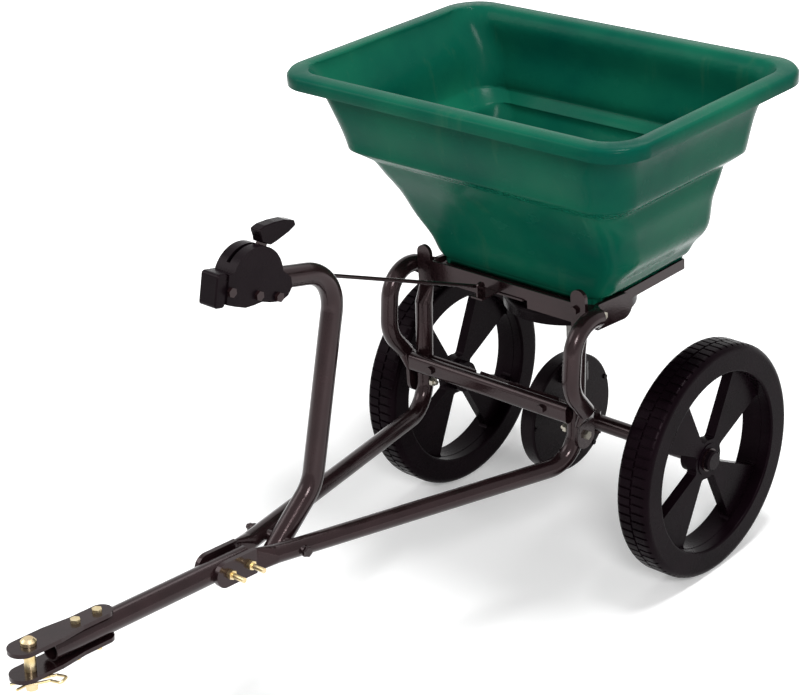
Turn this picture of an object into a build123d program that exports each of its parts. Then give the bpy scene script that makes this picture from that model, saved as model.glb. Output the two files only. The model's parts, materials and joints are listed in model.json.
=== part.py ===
from build123d import *
from math import cos, pi, radians, sin, tan
import os

# Tow-behind broadcast spreader. Millimetres, +Z up, ground at z = 0, forward is -Y.
# The origin is on the ground below the middle of the whole machine, and the axle lies at y = axle_y.

# wheels and axle
wheel_radius = 152.0
wheel_width = 46.0
wheel_track = 412.0
rim_inner_radius = 117.0
hub_radius = 21.0
hub_length = 28.0
spoke_thickness = 14.0
spoke_angle = 43.0
spoke_count = 4
spoke_half_angle = 19.0
shoulder_radius = 9.0
axle_radius = 7.95
sleeve_radius = 10.6
axle_overhang = 6.0
cap_radius = 13.0
cap_crown = 2.0

# tongue and hitch
hitch_distance = 888.0
hitch_height = 242.0
tongue_tilt = 4.4
tongue_radius = 12.7
tongue_front = 26.0
tongue_length = 276.0
strap_thickness = 4.8
ear_width = 33.0
ear_overhang = 24.0
strap_length = 132.0
strap_tail_width = 25.0
hitch_pin_radius = 6.35
pin_head_radius = 8.4
pin_tail = 17.0
clip_wire_radius = 1.6
clip_angle = 25.0
clip_leg = 22.5

# frame tubes
tube_radius = 11.1
tube_wall = 1.6
press_thickness = 5.0
press_width = 33.0
flat_length = 60.0
flat_height = 30.0
flat_thickness = 6.0
flat_start = 303.0
upright_x = 122.5
upright_y = -150.5
corner_z = 186.7
upright_lean = 3.6
frame_bend = 40.0
upright_top = 409.0
upright_tab_width = 21.6
side_tube_out = 146.0
side_tab_y = -40.0
side_bolt_y = -100.0
side_bolt_z = 364.8
foot_bolt_z = 227.0

# crossbar and axle brackets
crossbar_length = 254.0
crossbar_height = 24.0
crossbar_depth = 14.0
crossbar_z = 258.0
crossbar_bolt_x = 90.0
bracket_thickness = 3.0
bracket_width = 24.0
bracket_spacing = 54.0
bracket_reach = 77.0

# hopper
hopper_height = 638.0
floor_z = 376.0
hopper_wall = 3.5
rim_length = 538.0
rim_width = 374.0
rim_corner = 51.0
rim_centre_y = -49.0
lip_width = 18.0
lip_height = 17.0
lip_round = 5.0
outlet_length = 50.0
outlet_width = 22.0
outlet_y = -60.0

# tray
tray_thickness = 2.5
tray_half_width = 125.0
tray_front = 132.0
tray_rear = 74.0
tray_flange = 13.5
front_wall_top = 12.0
hopper_bolt_x = 106.0

# shutter
gate_half_width = 34.0
gate_thickness = 2.2
gate_gap = 0.3
gate_front = 160.0
gate_neck = 134.0
gate_tongue = 18.0
gate_rear = 20.0
gate_ear_y = -153.0
gate_ear_z = 384.2
guide_wall = 2.0
guide_shelf = 7.0
guide_length = 90.0
rod_radius = 2.4
rod_x = -21.5

# control post and head
post_radius = 12.7
post_foot_y = -545.0
post_foot_z = 204.0
post_lean = 15.0
post_knee_z = 259.8
post_knee_bend = 50.0
post_corner_y = -410.0
post_bend = 46.0
post_bolt_y = -533.0
post_bolt_z = 214.2
post_bolt_reach = 43.0
spacer_radius = 6.6
post_front = 16.0
pivot_y = -543.0
pivot_z = 525.0
head_tilt = 14.0
post_above_pivot = 11.3
housing_half = 15.0
housing_wall = 2.2
dome_radius = 37.5
dome_forward = 2.0
dome_centre_height = 16.3
clamp_run = 30.8
clamp_drop = 4.8
nose_front = 60.0
nose_rear = 45.0
nose_half = 13.0
nose_top = 28.0
nose_bottom = 9.5
nose_bolt_height = 8.0
lever_thickness = 4.0
lever_width = 13.0
lever_boss = 7.0
lever_rest = 28.0
lever_travel = 44.0
rod_pin_height = 30.0
grip_half = 7.5

# drive
gear_teeth = 40
pinion_teeth = 10
gear_module = 3.0
gear_face_x = -14.3
tooth_depth = 3.2
web_thickness = 3.5
pinion_height = 9.0
shaft_radius = 6.0
case_radius = 80.0
case_left = -25.0
case_right = -2.0
case_wall = 2.5
impeller_radius = 85.0
impeller_z = 336.0
impeller_skirt = 18.0
vane_count = 6
vane_height = 18.0
agitator_span = 84.0
agitator_z = 391.0

# fasteners and fits
bolt_radius = 3.1
big_bolt_radius = 3.2
hole_clearance = 0.3
running_clearance = 0.05
body_gap = 0.3

# worked out from the values above
strap_drop = (tongue_radius + strap_thickness) * sin(radians(tongue_tilt))
front_reach = hitch_distance + ear_overhang * cos(radians(tongue_tilt)) + strap_drop
rear_reach = wheel_radius
axle_y = (front_reach - rear_reach) / 2
axle_z = wheel_radius
wheel_x = wheel_track / 2
pitch_radius = gear_module * gear_teeth / 2
pinion_radius = gear_module * pinion_teeth / 2
pinion_z = axle_z + pitch_radius
gate_travel = rod_pin_height * (tan(radians(lever_rest)) + tan(radians(lever_travel - lever_rest)))
gate_top = floor_z - tray_thickness - gate_gap
top_bolt_z = floor_z + 6.4
top_bolt_x = upright_x - 5.0
gear_hub_end = -1.0
gear_pin_x = gear_hub_end - 4.5

os.makedirs("parts", exist_ok=True)


def save(piece, name):
    """Label a finished piece and write it as one STEP file."""
    piece.part.label = name
    export_step(piece.part, "parts/" + name + ".step")


def side_sign(side):
    """+1 for the right-hand side, -1 for the left."""
    return 1 if side == "right" else -1


def at(x, y, z):
    """A point measured from the axle's middle in Y, and from the ground in Z."""
    return (x, axle_y + y, z)


def bolt(seat, direction, grip, radius, tail=4.0, nut=True):
    """Add a hexagon bolt: its head seats at seat, and its nut lies past the grip."""
    plane = Plane(origin=seat, z_dir=direction)
    nut_height = 1.6 * radius
    with BuildSketch(plane) as head:
        RegularPolygon(1.85 * radius, 6)
    extrude(head.sketch, amount=-1.3 * radius)
    with BuildSketch(plane) as shank:
        Circle(radius)
    extrude(shank.sketch, amount=grip + (nut_height + tail if nut else 0.0))
    if nut:
        with BuildSketch(plane.offset(grip)) as hexagon:
            RegularPolygon(1.85 * radius, 6)
            Circle(radius + running_clearance, mode=Mode.SUBTRACT)
        extrude(hexagon.sketch, amount=nut_height)


def round_bar(start, end, radius, mode=Mode.ADD):
    """Add or cut a straight cylinder between two points."""
    run = Vector(end) - Vector(start)
    with BuildSketch(Plane(origin=start, z_dir=run)) as section:
        Circle(radius)
    extrude(section.sketch, amount=run.length, mode=mode)


def drill(start, end, radius):
    """Cut a round hole between two points."""
    round_bar(start, end, radius, mode=Mode.SUBTRACT)


def bent_tube(points, bends, radius, wall):
    """Sweep a round tube along straight runs joined by arcs."""
    with BuildLine() as route:
        FilletPolyline(*points, radius=bends)
    with BuildSketch(Plane(origin=route.line @ 0, z_dir=route.line % 0)) as section:
        Circle(radius)
        if wall:
            Circle(radius - wall, mode=Mode.SUBTRACT)
    sweep(section.sketch, path=route.line)


def pressed_end(
    start, run, width_direction, taper, tab, radius, width, thickness, shift=(0, 0, 0), turn=None
):
    """Flatten a tube: loft from its round end to a flat tab with a rounded tip."""
    run = Vector(run).normalized()
    tab_run = Vector(turn).normalized() if turn else run
    tab_start = Vector(start) + run * taper + Vector(shift)
    with BuildSketch(Plane(origin=Vector(start) - run, x_dir=width_direction, z_dir=run)) as round_section:
        RectangleRounded(2 * radius + 0.3, 2 * radius + 0.3, radius + 0.1)
    wide = Vector(width_direction)
    wide = (wide - tab_run * wide.dot(tab_run)).normalized()
    with BuildSketch(Plane(origin=tab_start, x_dir=wide, z_dir=tab_run)) as flat_section:
        RectangleRounded(width, thickness, thickness / 2 - 0.05)
    loft([round_section.sketch.face(), flat_section.sketch.face()])
    flat = Plane(origin=tab_start, x_dir=tab_run, z_dir=tab_run.cross(wide))
    with BuildSketch(flat.offset(-thickness / 2)) as outline:
        with Locations(((tab - width / 2) / 2, 0)):
            Rectangle(tab - width / 2, width)
        with Locations((tab - width / 2, 0)):
            Circle(width / 2)
    extrude(outline.sketch, amount=thickness)


# ---------------------------------------------------------------- hopper and tray

# outline at each height above the hopper floor: half length, half width, middle in Y, corner radius
hopper_steps = [
    (0.0, 123.0, 94.0, -10.0, 16.0),
    (7.0, 123.5, 94.3, -10.0, 17.0),
    (28.0, 145.0, 94.6, -12.0, 22.0),
    (50.0, 166.0, 95.5, -15.5, 28.0),
    (62.0, 174.0, 97.5, -18.5, 32.0),
    (82.0, 180.0, 102.0, -24.0, 36.0),
    (100.0, 184.5, 107.5, -29.5, 39.0),
    (120.0, 190.0, 117.0, -34.5, 41.0),
    (147.0, 200.0, 130.5, -40.0, 42.0),
    (160.0, 216.0, 145.5, -42.5, 43.0),
    (180.0, 221.5, 147.0, -44.0, 44.0),
    (205.0, 226.0, 154.0, -45.5, 45.0),
    (230.0, 237.0, 156.0, -47.5, 44.0),
    (
        hopper_height - floor_z,
        rim_length / 2 - lip_width,
        rim_width / 2 - lip_width,
        rim_centre_y,
        rim_corner - 8.0,
    ),
]
step_row = 9


def hopper_body(inset, lift):
    """Stack the hopper's outlines, drawn in by inset and with the floor raised by lift, into a solid."""
    outlines = []
    for height, half_x, half_y, centre_y, corner in hopper_steps:
        level = floor_z + height + (lift if height == 0.0 else 0.0)
        with BuildSketch(Plane.XY.offset(level)) as outline:
            with Locations((0, axle_y + centre_y)):
                RectangleRounded(2 * (half_x - inset), 2 * (half_y - inset), corner - inset)
        outlines.append(outline.sketch.face())
    loft(outlines[:2], ruled=True)
    loft(outlines[1:step_row])
    loft(outlines[step_row - 1 : step_row + 1], ruled=True)
    loft(outlines[step_row:])


with BuildPart() as hopper_inside:
    hopper_body(hopper_wall, hopper_wall)

with BuildPart() as hopper:
    hopper_body(0.0, 0.0)
    with BuildSketch(Plane.XY.offset(hopper_height - lip_height)):
        with Locations((0, axle_y + rim_centre_y)):
            RectangleRounded(rim_length, rim_width, rim_corner)
    extrude(amount=lip_height - lip_round)
    with BuildSketch(Plane.XY.offset(hopper_height - lip_round)):
        with Locations((0, axle_y + rim_centre_y)):
            RectangleRounded(rim_length, rim_width, rim_corner)
    extrude(amount=lip_round, taper=40)
    with BuildSketch(Plane.XY.offset(hopper_height - lip_height)):
        with Locations((0, axle_y + rim_centre_y)):
            RectangleRounded(
                rim_length - 2 * hopper_wall, rim_width - 2 * hopper_wall, rim_corner - hopper_wall
            )
            RectangleRounded(
                rim_length - 2 * lip_width, rim_width - 2 * lip_width, rim_corner - 8.0, mode=Mode.SUBTRACT
            )
    extrude(amount=lip_height - lip_round - 1.0, mode=Mode.SUBTRACT)
    add(hopper_inside.part, mode=Mode.SUBTRACT)
    with BuildSketch(Plane.XY.offset(floor_z - 1.0)):
        with Locations((0, axle_y + outlet_y)):
            Rectangle(outlet_length, outlet_width)
        with Locations((0, axle_y)):
            Circle(shaft_radius + 5.0)
        with Locations((hopper_bolt_x, axle_y), (-hopper_bolt_x, axle_y)):
            Circle(bolt_radius + hole_clearance)
    extrude(amount=hopper_wall + 2.0, mode=Mode.SUBTRACT)
save(hopper, "hopper")

with BuildPart() as hopper_tray:
    with BuildSketch(Plane.XY.offset(floor_z - tray_thickness)):
        with Locations((0, axle_y + (tray_rear - tray_front) / 2)):
            Rectangle(2 * tray_half_width, tray_front + tray_rear)
    extrude(amount=tray_thickness)
    for side in (-1, 1):
        with BuildSketch(Plane.XY.offset(floor_z - tray_flange)):
            flange_x = side * (tray_half_width - tray_thickness / 2)
            with Locations((flange_x, axle_y + (tray_rear - tray_front) / 2)):
                Rectangle(tray_thickness, tray_front + tray_rear)
        extrude(amount=tray_flange)
    with BuildSketch(Plane.XY.offset(floor_z - tray_flange)):
        with Locations((0, axle_y - tray_front + tray_thickness / 2)):
            Rectangle(2 * tray_half_width, tray_thickness)
    extrude(amount=tray_flange + front_wall_top)
    with BuildSketch(Plane.XY.offset(floor_z - tray_flange)):
        with Locations((0, axle_y - tray_front)):
            Rectangle(2 * (gate_half_width + 6.0), 4 * tray_thickness)
    extrude(amount=tray_flange - tray_thickness, mode=Mode.SUBTRACT)
    with BuildSketch(Plane.XY.offset(floor_z - tray_thickness)):
        with Locations((0, axle_y + outlet_y)):
            Rectangle(outlet_length, outlet_width)
        with Locations((0, axle_y)):
            Circle(shaft_radius + 5.0)
        with Locations((hopper_bolt_x, axle_y), (-hopper_bolt_x, axle_y)):
            Circle(bolt_radius + hole_clearance)
    extrude(amount=tray_thickness, mode=Mode.SUBTRACT)
    for side in (-1, 1):
        drill(
            at(side * top_bolt_x, -tray_front - 20.0, top_bolt_z),
            at(side * top_bolt_x, -tray_front + 10.0, top_bolt_z),
            bolt_radius + hole_clearance,
        )
        drill(
            at(side * (tray_half_width - 10.0), side_bolt_y, side_bolt_z),
            at(side * (tray_half_width + 10.0), side_bolt_y, side_bolt_z),
            bolt_radius + hole_clearance,
        )
save(hopper_tray, "hopper_tray")

with BuildPart() as hopper_bolts:
    for side in (-1, 1):
        bolt(
            (side * hopper_bolt_x, axle_y, floor_z + hopper_wall),
            (0, 0, -1),
            hopper_wall + tray_thickness,
            bolt_radius,
            tail=18.0,
        )
save(hopper_bolts, "hopper_bolts")

# ---------------------------------------------------------------- tongue, clevis and hitch pin

tilt = radians(tongue_tilt)
hitch = Plane(origin=at(0, -hitch_distance, hitch_height), x_dir=(1, 0, 0), z_dir=(0, sin(tilt), cos(tilt)))
clevis_bolts_at = (61.0, 90.0)


def along_tongue(x, s, h):
    """A point s behind the hitch pin along the tongue and h above the tongue's axis."""
    return tuple(hitch.from_local_coords(Vector(x, s, h)))


def clevis_strap(height):
    """One of the two straps: a round ear at the pin and a narrower tail bolted to the tongue."""
    ear = ear_width / 2
    tail = strap_tail_width / 2
    with BuildSketch(hitch.offset(height)) as outline:
        with Locations((0, ear - ear_overhang)):
            Circle(ear)
        with BuildLine():
            Polyline(
                (-ear, ear - ear_overhang),
                (ear, ear - ear_overhang),
                (ear, 30.0),
                (tail, 62.0),
                (tail, strap_length - ear_overhang - tail),
                (-tail, strap_length - ear_overhang - tail),
                (-tail, 62.0),
                (-ear, 30.0),
                close=True,
            )
        make_face()
        with Locations((0, strap_length - ear_overhang - tail)):
            Circle(tail)
        Circle(hitch_pin_radius + 2 * running_clearance, mode=Mode.SUBTRACT)
        with Locations(*[(0, s) for s in clevis_bolts_at]):
            Circle(bolt_radius + hole_clearance, mode=Mode.SUBTRACT)
    extrude(outline.sketch, amount=strap_thickness)


with BuildPart() as clevis_upper:
    clevis_strap(tongue_radius)
save(clevis_upper, "clevis_upper")

with BuildPart() as clevis_lower:
    clevis_strap(-tongue_radius - strap_thickness)
save(clevis_lower, "clevis_lower")

tongue_bolts_at = (262.0, 292.0)
with BuildPart() as tongue:
    tongue_end = along_tongue(0, tongue_front + tongue_length, 0)
    round_bar(along_tongue(0, tongue_front, 0), tongue_end, tongue_radius)
    drill(
        along_tongue(0, tongue_front, 0),
        along_tongue(0, tongue_front + tongue_length, 0),
        tongue_radius - tube_wall,
    )
    for s in clevis_bolts_at:
        drill(along_tongue(0, s, -30), along_tongue(0, s, 30), bolt_radius + hole_clearance)
    for s in tongue_bolts_at:
        drill(along_tongue(-30, s, 0), along_tongue(30, s, 0), bolt_radius + hole_clearance)
save(tongue, "tongue")

with BuildPart() as clevis_bolts:
    for s in clevis_bolts_at:
        bolt(
            along_tongue(0, s, tongue_radius + strap_thickness),
            -hitch.z_dir,
            2 * (tongue_radius + strap_thickness),
            bolt_radius,
        )
save(clevis_bolts, "clevis_bolts")

pin_bottom = -tongue_radius - strap_thickness - pin_tail
clip_height = pin_bottom + 10.0
clip_run = Vector(sin(radians(clip_angle)), cos(radians(clip_angle)), 0)
clip_side = Vector(cos(radians(clip_angle)), -sin(radians(clip_angle)), 0)
with BuildPart() as hitch_pin:
    pin_top = along_tongue(0, 0, tongue_radius + strap_thickness + 1.0)
    round_bar(along_tongue(0, 0, pin_bottom), pin_top, hitch_pin_radius)
    round_bar(
        along_tongue(0, 0, tongue_radius + strap_thickness + body_gap),
        along_tongue(0, 0, tongue_radius + strap_thickness + 4.0),
        pin_head_radius,
    )
    with BuildSketch(hitch.offset(tongue_radius + strap_thickness + 4.0)):
        Circle(pin_head_radius)
    extrude(amount=3.0, taper=45)
    drill(
        along_tongue(-20 * clip_run.X, -20 * clip_run.Y, clip_height),
        along_tongue(20 * clip_run.X, 20 * clip_run.Y, clip_height),
        clip_wire_radius + running_clearance,
    )
save(hitch_pin, "hitch_pin")


def clip_point(run, side):
    """A point of the hairpin: run along its straight leg and side across from it."""
    place = clip_run * run + clip_side * side
    return along_tongue(place.X, place.Y, clip_height)


leg_gap = hitch_pin_radius + clip_wire_radius + 0.6
with BuildPart() as hairpin_clip:
    bent_tube(
        [
            clip_point(-clip_leg, 0),
            clip_point(clip_leg + 4.0, 0),
            clip_point(clip_leg + 13.0, 8.0),
            clip_point(clip_leg + 4.0, leg_gap + 9.0),
            clip_point(clip_leg - 5.0, leg_gap),
            clip_point(-clip_leg + 14.0, leg_gap),
            clip_point(-clip_leg + 4.0, leg_gap + 5.0),
        ],
        3.2,
        clip_wire_radius,
        0,
    )
save(hairpin_clip, "hairpin_clip")

# ---------------------------------------------------------------- frame tubes

lean = tan(radians(upright_lean))


def upright_at(z):
    """The Y of the uprights' axis at a height."""
    return upright_y + lean * (z - corner_z)


flat_x = tongue_radius + flat_thickness / 2
press_start = floor_z - tray_flange - 28.0
for side in ("left", "right"):
    sign = side_sign(side)
    kink = Vector(along_tongue(sign * flat_x, flat_start, 0))
    corner = Vector(at(sign * upright_x, upright_y, corner_z))
    top = Vector(at(sign * upright_x, upright_at(press_start), press_start))
    tube_run = (corner - kink).normalized()
    round_start = kink + tube_run * 24.0
    with BuildPart() as frame_tube:
        bent_tube([round_start, corner, top], frame_bend, tube_radius, tube_wall)
        pressed_end(
            round_start,
            -tube_run,
            (0, 0, 1),
            24.0,
            flat_length,
            tube_radius,
            flat_height,
            flat_thickness,
            turn=-hitch.y_dir,
        )
        pressed_end(
            top,
            top - corner,
            (1, 0, 0),
            20.0,
            upright_top - press_start - 20.0,
            tube_radius,
            upright_tab_width,
            press_thickness,
            shift=(0, axle_y - tray_front - press_thickness / 2 - top.Y - 20.0 * lean, 0),
            turn=(0, 0, 1),
        )
        for s in tongue_bolts_at:
            drill(
                along_tongue(sign * 5, s, 0), along_tongue(sign * 30, s, 0), bolt_radius + hole_clearance,
            )
        drill(
            at(sign * top_bolt_x, -tray_front - 20.0, top_bolt_z),
            at(sign * top_bolt_x, -tray_front + 10.0, top_bolt_z),
            bolt_radius + hole_clearance,
        )
        drill(
            at(sign * post_radius, post_bolt_y, post_bolt_z),
            at(sign * (post_bolt_reach + 5.0), post_bolt_y, post_bolt_z),
            big_bolt_radius + hole_clearance,
        )
        drill(
            at(sign * (upright_x - 20.0), upright_at(foot_bolt_z), foot_bolt_z),
            at(sign * (upright_x + 20.0), upright_at(foot_bolt_z), foot_bolt_z),
            bolt_radius + hole_clearance,
        )
    save(frame_tube, "frame_tube_" + side)

with BuildPart() as tongue_bolts:
    for s in tongue_bolts_at:
        bolt(
            along_tongue(-tongue_radius - flat_thickness, s, 0),
            (1, 0, 0),
            2 * (tongue_radius + flat_thickness),
            bolt_radius,
            tail=18.0,
        )
save(tongue_bolts, "tongue_bolts")

with BuildPart() as upright_bolts:
    for side in (-1, 1):
        bolt(
            at(side * top_bolt_x, -tray_front - press_thickness - running_clearance, top_bolt_z),
            (0, 1, 0),
            press_thickness + tray_thickness + running_clearance,
            bolt_radius,
        )
save(upright_bolts, "upright_bolts")

foot_bolt_y = upright_at(foot_bolt_z)
for side in ("left", "right"):
    sign = side_sign(side)
    foot_x = sign * (upright_x + tube_radius + body_gap + press_thickness / 2)
    tab_x = sign * (tray_half_width + press_thickness / 2)
    foot = Vector(at(sign * side_tube_out, foot_bolt_y - 9.0, foot_bolt_z + 38.0))
    knee = Vector(at(sign * side_tube_out, -184.0, 300.0))
    crown = Vector(at(sign * side_tube_out, -174.0, 386.0))
    tail = Vector(at(sign * side_tube_out, side_bolt_y - 28.0, 377.0))
    tail_run = (tail - crown).normalized()
    tab_start = Vector(at(tab_x, side_bolt_y - 8.0, side_bolt_z))
    with BuildPart() as side_tube:
        bent_tube([foot, knee, crown, tail], (45.0, 38.0), tube_radius, tube_wall)
        pressed_end(
            foot,
            (0, 0, -1),
            (0, 1, 0),
            22.0,
            34.0,
            tube_radius,
            press_width,
            press_thickness,
            shift=(foot_x - foot.X, axle_y + foot_bolt_y - foot.Y, 0),
        )
        pressed_end(
            tail,
            tail_run,
            (0, 0, 1),
            20.0,
            side_tab_y - side_bolt_y + 8.0,
            tube_radius,
            press_width,
            press_thickness,
            shift=tuple(tab_start - tail - tail_run * 20.0),
            turn=(0, 1, -0.08),
        )
        drill(
            at(sign * (upright_x + 5.0), foot_bolt_y, foot_bolt_z),
            at(sign * (upright_x + 30.0), foot_bolt_y, foot_bolt_z),
            bolt_radius + hole_clearance,
        )
        drill(
            at(sign * (tray_half_width - 10.0), side_bolt_y, side_bolt_z),
            at(sign * (tray_half_width + 40.0), side_bolt_y, side_bolt_z),
            bolt_radius + hole_clearance,
        )
    save(side_tube, "side_tube_" + side)

with BuildPart() as side_tube_bolts:
    for side in (-1, 1):
        bolt(
            at(side * (tray_half_width + press_thickness), side_bolt_y, side_bolt_z),
            (-side, 0, 0),
            press_thickness + tray_thickness,
            bolt_radius,
        )
        bolt(
            at(side * (upright_x + tube_radius + press_thickness + body_gap), foot_bolt_y, foot_bolt_z),
            (-side, 0, 0),
            2 * (tube_radius + body_gap) + press_thickness,
            bolt_radius,
        )
save(side_tube_bolts, "side_tube_bolts")

# ---------------------------------------------------------------- crossbar and axle brackets

crossbar_back = upright_at(crossbar_z - crossbar_height / 2) - tube_radius / cos(radians(upright_lean))
crossbar_y = crossbar_back - crossbar_depth / 2
with BuildPart() as crossbar:
    end = Plane(origin=at(-crossbar_length / 2, crossbar_y, crossbar_z), x_dir=(0, 1, 0), z_dir=(1, 0, 0))
    with BuildSketch(end):
        RectangleRounded(crossbar_depth, crossbar_height, crossbar_depth / 2 - 0.5)
        RectangleRounded(
            crossbar_depth - 2 * tube_wall,
            crossbar_height - 2 * tube_wall,
            crossbar_depth / 2 - tube_wall - 0.6,
            mode=Mode.SUBTRACT,
        )
    extrude(amount=crossbar_length)
    for side in (-1, 1):
        drill(
            at(side * crossbar_bolt_x, crossbar_back - 30.0, crossbar_z),
            at(side * crossbar_bolt_x, crossbar_back + 10.0, crossbar_z),
            bolt_radius + hole_clearance,
        )
save(crossbar, "crossbar")

with BuildPart() as crossbar_bolts:
    for side in (-1, 1):
        bolt(
            at(side * crossbar_bolt_x, crossbar_back - crossbar_depth, crossbar_z),
            (0, 1, 0),
            crossbar_depth + bracket_thickness,
            bolt_radius,
        )
save(crossbar_bolts, "crossbar_bolts")

cheek_x = bracket_spacing / 2
bush_radius = axle_radius + 2.6
bracket_run = Vector(0, crossbar_back, crossbar_z) - Vector(0, 0, axle_z)
bracket_drop = bracket_run.normalized()
for side in ("left", "right"):
    sign = side_sign(side)
    cheek = Plane(origin=at(sign * cheek_x, 0, axle_z), x_dir=bracket_drop, z_dir=(sign, 0, 0))
    with BuildPart() as axle_bracket:
        with BuildSketch(cheek):
            with Locations((bracket_run.length / 2 - 4.5, 0)):
                Rectangle(bracket_run.length - 9.0, bracket_width)
            Circle(bracket_width / 2 + 3.0)
            Circle(bush_radius, mode=Mode.SUBTRACT)
            with Locations((case_radius - case_wall - 6.0, 0)):
                Circle(bolt_radius + hole_clearance, mode=Mode.SUBTRACT)
        extrude(amount=bracket_thickness)
        with BuildSketch(Plane(origin=at(0, crossbar_back, crossbar_z), x_dir=(1, 0, 0), z_dir=(0, 1, 0))):
            with Locations((sign * (cheek_x + bracket_reach / 2), 0)):
                Rectangle(bracket_reach, crossbar_height)
            with Locations((sign * crossbar_bolt_x, 0)):
                Circle(bolt_radius + hole_clearance, mode=Mode.SUBTRACT)
        extrude(amount=bracket_thickness)
    save(axle_bracket, "axle_bracket_" + side)

bush_flange = 1.5
with BuildPart() as axle_bushes:
    for side in (-1, 1):
        with BuildSketch(Plane(origin=at(side * (cheek_x - 1.0), 0, axle_z), z_dir=(side, 0, 0))):
            Circle(bush_radius - running_clearance)
        extrude(amount=bracket_thickness + 1.0)
        flange_start = at(side * (cheek_x + bracket_thickness), 0, axle_z)
        with BuildSketch(Plane(origin=flange_start, z_dir=(side, 0, 0))):
            Circle(bush_radius + 2.5)
        extrude(amount=bush_flange)
    drill(at(-60, 0, axle_z), at(60, 0, axle_z), axle_radius + running_clearance)
save(axle_bushes, "axle_bushes")

# ---------------------------------------------------------------- axle, sleeves and wheels

sleeve_start = cheek_x + bracket_thickness + bush_flange + body_gap
hub_start = wheel_x - wheel_width / 2 + 3.0
washer_thickness = 1.5
sleeve_end = hub_start - washer_thickness - body_gap
hub_end = hub_start + hub_length
axle_end = hub_end + axle_overhang
drive_pin_x = hub_start + 7.0
sleeve_bolt_x = sleeve_start + 7.0
with BuildPart() as axle:
    round_bar(at(-axle_end, 0, axle_z), at(axle_end, 0, axle_z), axle_radius)
    for side in (-1, 1):
        drill(
            at(side * sleeve_bolt_x, 0, axle_z - 20),
            at(side * sleeve_bolt_x, 0, axle_z + 20),
            bolt_radius + running_clearance,
        )
    for x, radius in ((gear_pin_x, 2.0), (drive_pin_x, bolt_radius)):
        drill(at(x, 0, axle_z - 20), at(x, 0, axle_z + 20), radius + running_clearance)
save(axle, "axle")

for side in ("left", "right"):
    sign = side_sign(side)
    with BuildPart() as axle_sleeve:
        with BuildSketch(Plane(origin=at(sign * sleeve_start, 0, axle_z), z_dir=(sign, 0, 0))):
            Circle(sleeve_radius)
            Circle(axle_radius + running_clearance, mode=Mode.SUBTRACT)
        extrude(amount=sleeve_end - sleeve_start)
        drill(
            at(sign * sleeve_bolt_x, 0, axle_z - 20),
            at(sign * sleeve_bolt_x, 0, axle_z + 20),
            bolt_radius + running_clearance,
        )
    save(axle_sleeve, "axle_sleeve_" + side)

with BuildPart() as sleeve_bolts:
    for side in (-1, 1):
        bolt(
            at(side * sleeve_bolt_x, 0, axle_z + sleeve_radius),
            (0, 0, -1),
            2 * sleeve_radius,
            bolt_radius,
            tail=1.0,
        )
save(sleeve_bolts, "sleeve_bolts")

with BuildPart() as axle_washers:
    for side in (-1, 1):
        for start in (hub_start - washer_thickness - 0.1, hub_end + 0.2):
            with BuildSketch(Plane(origin=at(side * start, 0, axle_z), z_dir=(side, 0, 0))) as ring:
                Circle(axle_radius + 7.0)
                Circle(axle_radius + running_clearance, mode=Mode.SUBTRACT)
            extrude(ring.sketch, amount=washer_thickness)
save(axle_washers, "axle_washers")

cap_start = hub_end + 0.2 + washer_thickness
with BuildPart() as axle_caps:
    for side in (-1, 1):
        round_bar(at(side * cap_start, 0, axle_z), at(side * (axle_end + 1.0), 0, axle_z), cap_radius)
        with BuildSketch(Plane(origin=at(side * (axle_end + 1.0), 0, axle_z), z_dir=(side, 0, 0))) as crown:
            Circle(cap_radius)
        extrude(crown.sketch, amount=cap_crown, taper=45)
    drill(at(-axle_end, 0, axle_z), at(axle_end, 0, axle_z), axle_radius + running_clearance)
save(axle_caps, "axle_caps")

bush_wall = 3.0
hub_bore = axle_radius + bush_wall + 2 * running_clearance
spoke_face = hub_end - 1.0


def wheel_plane(sign, x):
    """A plane across the axle at a distance from the middle, facing outward."""
    return Plane(origin=at(sign * x, 0, axle_z), x_dir=(0, 1, 0), z_dir=(sign, 0, 0))


for side in ("left", "right"):
    sign = side_sign(side)
    inside = wheel_x - wheel_width / 2
    with BuildPart() as wheel:
        with BuildSketch(wheel_plane(sign, inside)):
            Circle(wheel_radius)
            Circle(rim_inner_radius, mode=Mode.SUBTRACT)
        extrude(amount=wheel_width)
        circles = wheel.edges().filter_by(GeomType.CIRCLE)
        fillet(circles.filter_by(lambda edge: edge.radius > wheel_radius - 1), radius=shoulder_radius)
        circles = wheel.edges().filter_by(GeomType.CIRCLE)
        fillet(circles.filter_by(lambda edge: edge.radius < rim_inner_radius + 1), radius=3.0)
        with BuildSketch(wheel_plane(sign, hub_start)):
            Circle(hub_radius)
        extrude(amount=hub_length)
        with BuildSketch(wheel_plane(sign, spoke_face - spoke_thickness)):
            Circle(rim_inner_radius + 1.0)
            with BuildSketch(mode=Mode.PRIVATE) as window:
                with BuildLine():
                    gap = 90.0 - spoke_half_angle * 2
                    start = spoke_angle + spoke_half_angle
                    outer_arc = CenterArc((0, 0), rim_inner_radius - 0.5, start, gap)
                    inner_arc = CenterArc((0, 0), hub_radius + 5.0, start, gap)
                    Line(outer_arc @ 0, inner_arc @ 0)
                    Line(outer_arc @ 1, inner_arc @ 1)
                make_face()
                fillet(window.vertices(), radius=5.0)
            with PolarLocations(0, spoke_count):
                add(window.sketch, mode=Mode.SUBTRACT)
        extrude(amount=spoke_thickness)
        drill(at(sign * (hub_start - 1), 0, axle_z), at(sign * (hub_end + 8), 0, axle_z), hub_bore)
        if side == "right":
            drill(
                at(sign * (drive_pin_x), 0, axle_z - 40),
                at(sign * (drive_pin_x), 0, axle_z + 40),
                bolt_radius + running_clearance,
            )
    save(wheel, "wheel_" + side)

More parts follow.
